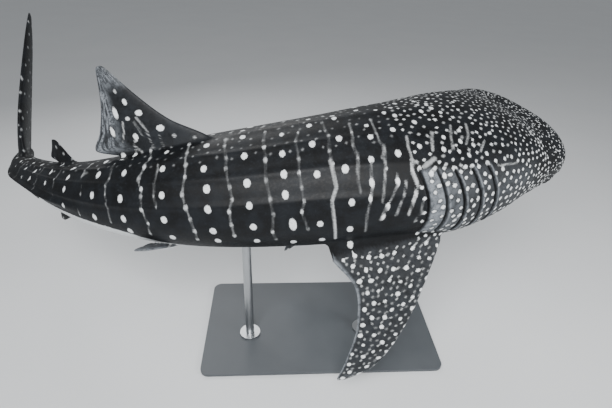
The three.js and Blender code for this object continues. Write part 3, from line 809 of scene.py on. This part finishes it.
def scatter(candidates, gap):
    """Picks skin points at random, no two closer than their gap, and none on a mark that is there already."""
    taken = []
    cells = {}
    for i in chance.permutation(candidates):
        p, normal, room = skin_points[i], skin_normals[i], gap(i)
        if mark_distance[i] < room * 0.42:
            continue
        cell = tuple(math.floor(v / CELL) for v in p)
        span = math.ceil(room / CELL)
        around = itertools.product(*(range(c - span, c + span + 1) for c in cell))
        crowded = any(
            np.sum((skin_points[j] - p) ** 2) < room * room and np.dot(skin_normals[j], normal) > 0
            for place in around
            for j in cells.get(place, ())
        )
        if not crowded:
            cells.setdefault(cell, []).append(i)
            taken.append(i)
    return taken


def random_spots(candidates, gap, size, bright):
    """Scatters ovals over these skin points; gap, size and brightness depend on the point."""
    for i in scatter(candidates, gap):
        r = size(i)
        around = chance.normal(0, 1, 3)
        squash = chance.uniform(0.85, 1.2)
        spot(skin_points[i], skin_normals[i], around, r * squash, r / squash, bright(i))


on_body = skin_part == BODY
side_angle = np.abs(skin_second)
for flip, wander in ((1, 0.0), (-1, 1.0)):
    flank_markings(flip, wander)

# Bright spots of the head's top
for flip, wander in ((1, 0.0), (-1, 1.0)):
    for station, angle in HEAD_SPOTS:
        s = station + chance.normal(0, 0.001 + wander * 0.002)
        a = angle + chance.normal(0, 0.7 + wander * 2)
        big = (station / 0.22) ** 0.85 * chance.uniform(0.9, 1.1)
        body_spot(s, a * flip, 20 * big, 25 * big, 1.0)

# The rest of the head, but for the gill slits: close-set spots, smaller and closer towards the snout
head_zone = on_body & (skin_first > 0.078) & (skin_first < 0.240) & (side_angle < 130)
for behind, held in gill_places(skin_first, skin_second):
    head_zone &= (held < 0.3) | (behind < -0.020) | (behind > 0.028)
top_of_head = (side_angle < 52) & (skin_first > 0.085)


def head_gap(i):
    """Least distance between the head's spots, in metres."""
    return 0.034 + 0.023 * float(ease((skin_first[i] - 0.06) / 0.10))


random_spots(
    np.flatnonzero(head_zone & ~top_of_head),
    head_gap,
    lambda i: head_gap(i) * chance.uniform(0.27, 0.36),
    lambda i: chance.uniform(0.8, 1),
)
random_spots(
    np.flatnonzero(head_zone & top_of_head),
    lambda i: head_gap(i) * 1.02,
    lambda i: head_gap(i) * 0.25,
    lambda i: chance.uniform(0.4, 0.9),
)

# Small dim spots between the columns high on the trunk
random_spots(
    np.flatnonzero(on_body & (skin_first > 0.243) & (skin_first < 0.83) & (side_angle < 34)),
    lambda i: 0.080,
    lambda i: chance.uniform(0.007, 0.012),
    lambda i: chance.uniform(0.15, 0.4),
)

# First dorsal fin: the photograph's own marks on both faces
_, dorsal_along, _, dorsal_across = upright_axes(FIRST_DORSAL)
for face in (1, -1):
    for u, v, half_long, half_high, strength in DORSAL_SPOTS:
        centre = upright_place(FIRST_DORSAL, u, v) + dorsal_across * face * 0.02
        spot(centre, dorsal_across * face, dorsal_along, half_long / 1000, half_high / 1000, strength)
for places, half, strength in DORSAL_BARS:
    dorsal_bar([upright_place(FIRST_DORSAL, u, v) for u, v in places], half, strength)

# Other fins: scattered spots, bright on the pectoral fins with dim ones between
scattered = [(part, 0.092, 0.021) for part in PECTORALS]
scattered += [(UPPER_FLUKE, 0.13, 0.015), (LOWER_FLUKE, 0.12, 0.014)]
scattered += [(part, 0.11, 0.014) for part in SMALL_FINS]
for part, gap, large in scattered:
    zone = np.flatnonzero((skin_part == part) & (np.abs(skin_second) < 0.93))
    full = 1.0 if part in PECTORALS else 0.45
    random_spots(zone, lambda i: gap, lambda i: large * chance.uniform(0.75, 1.1), lambda i: full)
    if part in PECTORALS:
        random_spots(zone, lambda i: gap * 0.52, lambda i: large * 0.55, lambda i: chance.uniform(0.25, 0.65))

# Ground tones: the last gill flaps, the flaps' rear edges, the cheek, and the fins' rear edges are paler; on
# the cheek and gill flaps this is partly pale skin and partly painted light
flap_place = skin_first - gill_bow(skin_second)
height_window = ease((side_angle - 51) / 6) * ease((118 - side_angle) / 8)
# The gill flaps' paler tone is partly pale skin and partly painted light on the lit side of the head
last_two = ease((flap_place - 0.203) / 0.004) * ease((0.2376 - flap_place) / 0.001)
last_two *= 0.36 + 0.54 * ease((flap_place - 0.2205) / 0.002)
front_flaps = 0.13 * ease((flap_place - 0.165) / 0.004) * ease((0.206 - flap_place) / 0.004)
# The cheek's paler tone is partly pale skin and partly painted light on the lit side of the head
lit_pale_cheek = 0.24 * ease((skin_first - 0.09) / 0.03) * ease((0.169 - flap_place) / 0.003)
lit_pale_cheek *= hump(side_angle, 78, 17)
pale = np.maximum(np.maximum(last_two, front_flaps) * height_window, lit_pale_cheek) * on_body
# Painted shade: the gill slits are darkened along their openings, where shade falls into them
gill_slit_shade = np.zeros(len(skin_points))
for behind, held in gill_places(skin_first, skin_second):
    pale = np.maximum(pale, 0.9 * held * hump(behind, -0.011, 0.008) * on_body)
    gill_slit_shade = np.maximum(gill_slit_shade, held * hump(behind, 0.004, 0.0078) * on_body)
chord = np.abs(skin_second)
on_pectoral, on_pelvic, on_dorsal = (np.isin(skin_part, part) for part in (PECTORALS, PELVICS, DORSAL))
pectoral_pale = 0.10 + 0.75 * ease((chord - 0.95) / 0.03) + 0.35 * ease((skin_first - 0.9) / 0.1)
pale = np.where(on_pectoral, pectoral_pale, pale)
pale = np.where(on_pelvic, 0.25 + 0.6 * ease((skin_first - 0.35) / 0.5), pale)
rear_of_dorsal = ease((chord - 0.62) / 0.2) * ease((skin_first - 0.02) / 0.1)
tip_of_dorsal = ease((skin_first - 0.66) / 0.2)
pale = np.where(on_dorsal, np.maximum(0.04 + 0.96 * rear_of_dorsal, tip_of_dorsal), pale)

# White below: low on the flank to the pelvic fins, higher along the tail; the paired fins' undersides too
border = curve(
    (0, 0.05, 0.2, 0.26, 0.5, 0.545, 0.57, 0.60, 0.66, 0.80, 0.90),
    (118, 122, 126, 140, 140, 124, 115, 111, 109, 110, 112),
)
belly = np.where(on_body, ease((side_angle - border(np.clip(skin_first, 0, 0.89)) + 3) / 6), 0.0)
under = ease(np.minimum(chord, 1 - chord) / 0.16) * ease((1.02 - skin_first) / 0.2)
belly = np.where((on_pectoral | on_pelvic) & (skin_second < 0), 0.9 * under, belly)
gap = above_mouth(*body_local(np.where(on_body, skin_first, 0.5), np.where(on_body, skin_second, 0)))
# Painted shade along the line where the lips meet, where shade falls into the mouth's crease
lips = ease((MOUTH_CORNER - skin_first) / 0.012) * hump(gap, 0, 0.008) * on_body

for name, values in {
    "mark_distance": mark_distance,
    "mark_strength": mark_strength,
    "pale_skin_and_painted_light": pale,
    "belly": belly,
    "fold_shade": np.maximum(gill_slit_shade, lips),
    "streaks": np.where(on_dorsal, np.maximum(rear_of_dorsal, tip_of_dorsal), 0.0),
    "snout": np.where(on_body, ease((0.088 - skin_first) / 0.014), 0.0),
}.items():
    put_attribute(skin, name, values)
fin_span = np.where(on_dorsal, skin_first * FIRST_DORSAL["height"] * LENGTH, 0)
fin_place = np.stack([np.where(on_dorsal, chord * 0.35, 0), fin_span, np.sign(skin_second) * 0.1], 1)
place_layer = skin.data.attributes.new(name="fin_place", type="FLOAT_VECTOR", domain="POINT")
place_layer.data.foreach_set("vector", np.ascontiguousarray(fin_place, dtype=np.float32).reshape(-1))

# Materials


def colour(code):
    """An sRGB hex colour as linear light."""
    parts = [int(code[i : i + 2], 16) / 255 for i in (1, 3, 5)]
    linear = [c / 12.92 if c <= 0.04045 else ((c + 0.055) / 1.055) ** 2.4 for c in parts]
    return (*linear, 1.0)


def add_node(tree, kind, settings=None, inputs=None):
    """Adds a node; each input is a value, or the output socket that feeds it."""
    node = tree.nodes.new(kind)
    for key, value in (settings or {}).items():
        setattr(node, key, value)
    for key, value in (inputs or {}).items():
        if isinstance(value, bpy.types.NodeSocket):
            tree.links.new(value, node.inputs[key])
        else:
            node.inputs[key].default_value = value
    return node


def new_material(name):
    """A new material, its tree, and the object's own coordinates."""
    material = bpy.data.materials.new(name)
    material.use_nodes = True
    tree = material.node_tree
    here = add_node(tree, "ShaderNodeTexCoord").outputs["Object"]
    return material, tree, here


def noise(tree, place, scale, detail, rough=0.5):
    inputs = {"Vector": place, "Scale": scale, "Detail": detail, "Roughness": rough}
    return add_node(tree, "ShaderNodeTexNoise", {}, inputs).outputs["Fac"]


def blend(tree, share, a, b):
    """Mixes two colours, hex codes or sockets, by a share."""
    a, b = (colour(part) if isinstance(part, str) else part for part in (a, b))
    return add_node(tree, "ShaderNodeMix", {"data_type": "RGBA"}, {"Factor": share, 6: a, 7: b}).outputs[2]


def spread(tree, value, low, high):
    """A value from 0 to 1, taken to lie between low and high."""
    inputs = {"Value": value, "To Min": low, "To Max": high}
    return add_node(tree, "ShaderNodeMapRange", {}, inputs).outputs[0]


def stretch(tree, place, scale):
    return add_node(tree, "ShaderNodeMapping", {}, {"Vector": place, "Scale": scale}).outputs[0]


def finished(material, base, rough, bump=None, **settings):
    """Feeds the shader: base colour, roughness, a bump of (height, strength, distance), and plain values."""
    tree = material.node_tree
    shader = tree.nodes["Principled BSDF"]
    tree.links.new(base, shader.inputs["Base Color"])
    if isinstance(rough, float):
        shader.inputs["Roughness"].default_value = rough
    else:
        tree.links.new(rough, shader.inputs["Roughness"])
    for name, value in settings.items():
        shader.inputs[name.replace("_", " ")].default_value = value
    if bump:
        height, strength, distance = bump
        inputs = {"Strength": strength, "Distance": distance, "Height": height}
        tree.links.new(add_node(tree, "ShaderNodeBump", {}, inputs).outputs[0], shader.inputs["Normal"])
    return material


def shark_skin_material():
    """Skin set with tiny denticles, like fine sandpaper under a sheen of water: near-black and satin."""
    material, tree, here = new_material("denticled_shark_skin")

    def attribute(name, kind="Fac"):
        return add_node(tree, "ShaderNodeAttribute", {"attribute_name": name}).outputs[kind]

    def join(operation, a, b):
        return add_node(tree, "ShaderNodeMath", {"operation": operation}, {0: a, 1: b}).outputs[0]

    def ramp(value, low, high, to_low=0.0, to_high=1.0):
        inputs = {"Value": value, "From Min": low, "From Max": high, "To Min": to_low, "To Max": to_high}
        return add_node(tree, "ShaderNodeMapRange", {"interpolation_type": "SMOOTHSTEP"}, inputs).outputs[0]

    # Patches of about 150 mm, wisps of 45 mm and mottling of 20 mm vary the ground
    patches, mottle = noise(tree, here, 6.5, 4, 0.55), noise(tree, here, 50, 5, 0.65)
    wisps = noise(tree, here, 22, 6, 0.7)
    ground = blend(tree, ramp(patches, 0.35, 0.68), "#08090b", "#14171b")
    ground = blend(tree, ramp(mottle, 0.50, 0.75, 0.0, 0.35), ground, "#2b3036")
    # The paler ground is partly pale skin and partly painted light on the cheek and gill flaps, broken up by
    # the wisps
    pale_and_lit_share = join("MULTIPLY", attribute("pale_skin_and_painted_light"), ramp(wisps, 0.32, 0.60, 0.30, 1.0))
    # The paler ground keeps a dark ring of about 10 mm round every mark
    pale_and_lit_share = join("MULTIPLY", pale_and_lit_share, ramp(attribute("mark_distance"), 0.001, 0.013, 0.35, 1.0))
    ground = blend(tree, pale_and_lit_share, ground, "#7f848a")
    # Fine lines run up the rear of the first dorsal fin, about 12 mm apart and 150 mm long
    lines = noise(tree, stretch(tree, attribute("fin_place", "Vector"), (80, 7, 40)), 1, 4)
    specks = ramp(noise(tree, here, 85, 2, 0.55), 0.54, 0.62, 0.0, 0.8)
    speckled = join("MAXIMUM", ramp(lines, 0.58, 0.42, 0.0, 0.85), specks)
    ground = blend(tree, join("MULTIPLY", attribute("streaks"), speckled), ground, "#0d0f12")
    # Bright marks have crisper edges than dim ones; all waver by 3 mm
    strength = attribute("mark_strength")
    soft = ramp(strength, 0.15, 0.9, 0.017, 0.0055)
    waver = ramp(noise(tree, here, 75, 3, 0.55), 0.2, 0.8, -0.003, 0.003)
    edge = join("ADD", attribute("mark_distance"), waver)
    uneven = join("MULTIPLY", strength, ramp(mottle, 0.25, 0.6, 0.72, 1.0))
    mark = join("MULTIPLY", ramp(edge, join("MULTIPLY", soft, 0.7), join("MULTIPLY", soft, -1.0)), uneven)
    marked = blend(tree, mark, ground, "#eef1f2")
    # The snout's spots are under 20 mm wide and about 32 mm apart
    inputs = {"Vector": here, "Scale": 31, "Randomness": 0.85}
    dots = add_node(tree, "ShaderNodeTexVoronoi", {}, inputs).outputs["Distance"]
    dotted = join("MULTIPLY", ramp(dots, 0.34, 0.22), attribute("snout"))
    marked = blend(tree, join("MULTIPLY", dotted, 0.7), marked, "#e6e9ea")
    belly_edge = join("ADD", attribute("belly"), ramp(wisps, 0.25, 0.75, -0.25, 0.25))
    body = blend(tree, ramp(belly_edge, 0.25, 0.8), marked, "#dcdfe0")
    # Painted shade darkens the gill slits and the line where the lips meet
    shaded_in_folds = blend(tree, join("MULTIPLY", attribute("fold_shade"), 0.95), body, "#040506")
    # Denticles are under 1 mm; drawn as 5 mm grain so that it shows, over 40 mm unevenness
    grain = join("MULTIPLY", noise(tree, here, 200, 3, 0.55), 0.35)
    relief = join("ADD", grain, noise(tree, here, 25, 3, 0.55))
    gloss = {"IOR": 1.38, "Specular_IOR_Level": 0.3, "Coat_Weight": 0.06, "Coat_Roughness": 0.35}
    return finished(material, shaded_in_folds, ramp(mottle, 0.3, 0.7, 0.48, 0.66), (relief, 0.22, 0.006), **gloss)


def eye_material():
    """A fish's eye: a wet clear front over a black pupil and a dark iris with a thin pale ring."""
    material, tree, here = new_material("wet_fish_eye")
    ring = add_node(tree, "ShaderNodeAttribute", {"attribute_name": "pupil_reach"}).outputs["Fac"]
    tone = add_node(tree, "ShaderNodeValToRGB", {}, {"Fac": ring})
    stops = tone.color_ramp.elements
    stops[0].position, stops[0].color = 0.42, colour("#020203")
    stops[1].position, stops[1].color = 0.50, colour("#31363c")
    for place, shade in ((0.72, "#4a5158"), (0.80, "#9da3a6"), (0.88, "#15171a")):
        stops.new(place).color = colour(shade)
    settings = {"data_type": "RGBA", "blend_type": "MULTIPLY"}
    inputs = {"Factor": 0.5, 6: tone.outputs["Color"], 7: noise(tree, here, 300, 4)}
    mixed = add_node(tree, "ShaderNodeMix", settings, inputs).outputs[2]
    return finished(material, mixed, 0.06, Coat_Weight=1.0, Coat_Roughness=0.03)


def painted_steel_material():
    """Mild steel plate, powder coated: an even satin dark grey with a fine orange-peel texture."""
    material, tree, here = new_material("powder_coated_steel")
    dust = noise(tree, here, 3, 6)
    rough = spread(tree, dust, 0.42, 0.58)
    # Orange peel of about 3 mm, drawn at 8 mm so that it shows on a plate this large
    peel = noise(tree, here, 125, 2)
    return finished(material, blend(tree, dust, "#44484c", "#54585c"), rough, (peel, 0.12, 0.001))


def brushed_steel_material():
    """Stainless tube brushed along its length: bright metal with fine upright lines."""
    material, tree, here = new_material("brushed_stainless_tube")
    # Lines 1.5 mm apart round the tube and drawn out along it
    lines = noise(tree, stretch(tree, here, (650, 650, 6)), 1, 3)
    rough = spread(tree, lines, 0.24, 0.42)
    tone = blend(tree, lines, "#9a9da0", "#c3c5c7")
    return finished(material, tone, rough, (lines, 0.08, 0.0005), Metallic=1.0)


def rubber_material():
    """Moulded black rubber: matte, with a faint grain and grey bloom."""
    material, tree, here = new_material("moulded_black_rubber")
    tone = blend(tree, noise(tree, here, 14, 5), "#151517", "#2a2b2d")
    return finished(material, tone, 0.82, (noise(tree, here, 250, 2), 0.2, 0.001))


def floor_material():
    """A pale studio floor: matte seamless paper with hardly any variation."""
    material, tree, here = new_material("pale_studio_floor")
    return finished(material, blend(tree, noise(tree, here, 0.6, 3), "#d3d5d7", "#dadcdd"), 0.85)


# The skin's finish and what it stands for
FLESH = (
    "head", "lower_jaw", "gill_region", "trunk_front", "trunk_middle", "trunk_rear", "tail_stock",
    "first_dorsal_fin", "second_dorsal_fin", "anal_fin", "pectoral_fin_right", "pectoral_fin_left",
    "pelvic_fin_right", "pelvic_fin_left", "tail_fin_upper", "tail_fin_lower",
)
skin.data.materials.clear()
skin.data.materials.append(shark_skin_material())
select_only(skin)
bpy.ops.object.shade_smooth()
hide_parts(*FLESH)
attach(skin, "root")


def build_eye(name, node, flip, material):
    """An eyeball with a slightly raised clear front, turned outwards."""
    centre, normal = eye_centre(flip)
    place = {"radius": EYE_RADIUS, "location": Vector(centre)}
    clear_selection()
    bpy.ops.mesh.primitive_uv_sphere_add(segments=48, ring_count=32, **place)
    eye = bpy.context.object
    eye.name = name
    bpy.ops.object.transform_apply(location=True, rotation=True, scale=True)
    points = points_of(eye)
    away = unit(points - centre)
    facing = away @ normal
    bulge = 1 + 0.06 * ease((facing - 0.6) / 0.35)
    move_points(eye, centre + away * EYE_RADIUS * bulge[:, None])
    put_attribute(eye, "pupil_reach", np.degrees(np.arccos(np.clip(facing, -1, 1))) / 70)
    bpy.ops.object.shade_smooth()
    eye.data.materials.append(material)
    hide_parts(node)
    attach(eye, "root")


eye_finish = eye_material()
build_eye("eyeball_right", "eye_right", 1, eye_finish)
build_eye("eyeball_left", "eye_left", -1, eye_finish)

# The stand keeps its solids and takes better finishes
for node, finish in (
    ("stand_base", painted_steel_material()),
    ("stand_rod_front", brushed_steel_material()),
    ("stand_rod_rear", brushed_steel_material()),
    ("stand_pad_front", rubber_material()),
    ("stand_pad_rear", rubber_material()),
):
    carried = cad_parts[node]
    carried.data.materials.clear()
    carried.data.materials.append(finish)

# Floor, light and camera
clear_selection()
bpy.ops.mesh.primitive_plane_add(size=120, location=(0, 0, -0.001))
floor = bpy.context.object
floor.name = "studio_floor"
bpy.ops.object.transform_apply(location=True, rotation=True, scale=True)
floor.data.materials.append(floor_material())

world = bpy.data.worlds.new("studio")
bpy.context.scene.world = world
world.use_nodes = True
world.node_tree.nodes["Background"].inputs["Color"].default_value = colour("#e4e7ea")
world.node_tree.nodes["Background"].inputs["Strength"].default_value = 0.45


def soft_light(name, place, aim, size, power):
    """A rectangular lamp that looks at its aim."""
    lamp = bpy.data.lights.new(name, "AREA")
    lamp.shape = "RECTANGLE"
    lamp.size, lamp.size_y = size
    lamp.energy = power
    holder = bpy.data.objects.new(name, lamp)
    bpy.context.collection.objects.link(holder)
    holder.location = place
    holder.rotation_euler = (Vector(aim) - Vector(place)).to_track_quat("-Z", "Y").to_euler()


soft_light("key", (-1.5, -6.5, 7.5), (0.3, 0, 1.9), (5, 4), 1100)
soft_light("head_fill", (6.5, -4.5, 4.0), (1.6, 0.3, 2.0), (3, 3), 350)
soft_light("back_soft", (-3.0, 6.0, 6.0), (0, 0, 2.0), (6, 3), 300)

# The camera, from the fit of the outline in the photograph's own frame of 612 by 408
CAMERA_TARGET = (0.084, 0.0, -0.2146)
CAMERA_ELEVATION, CAMERA_AZIMUTH, CAMERA_ROLL = 30.24, -4.10, 1.90
CAMERA_DISTANCE, FOCAL_PIXELS = 4.329, 461.0
elevation, azimuth, roll = (math.radians(v) for v in (CAMERA_ELEVATION, CAMERA_AZIMUTH, CAMERA_ROLL))
backwards = Vector((
    math.sin(azimuth) * math.cos(elevation), -math.cos(azimuth) * math.cos(elevation), math.sin(elevation)
))
shift = Vector((-BALANCE[0], -BALANCE[1], AXIS_HEIGHT))
rightwards = (-backwards).cross(Vector((0, 0, 1))).normalized()
upwards = rightwards.cross(-backwards)
camera_x = rightwards * math.cos(roll) + upwards * math.sin(roll)
camera_y = -rightwards * math.sin(roll) + upwards * math.cos(roll)
lens_data = bpy.data.cameras.new("camera")
lens_data.sensor_width = 36
lens_data.lens = FOCAL_PIXELS / 612 * 36
lens_data.clip_end = 200
camera = bpy.data.objects.new("camera", lens_data)
bpy.context.collection.objects.link(camera)
turned = Matrix((camera_x, camera_y, backwards)).transposed().to_4x4()
turned.translation = Vector(CAMERA_TARGET) + shift + backwards * CAMERA_DISTANCE
camera.matrix_world = turned
bpy.context.scene.camera = camera
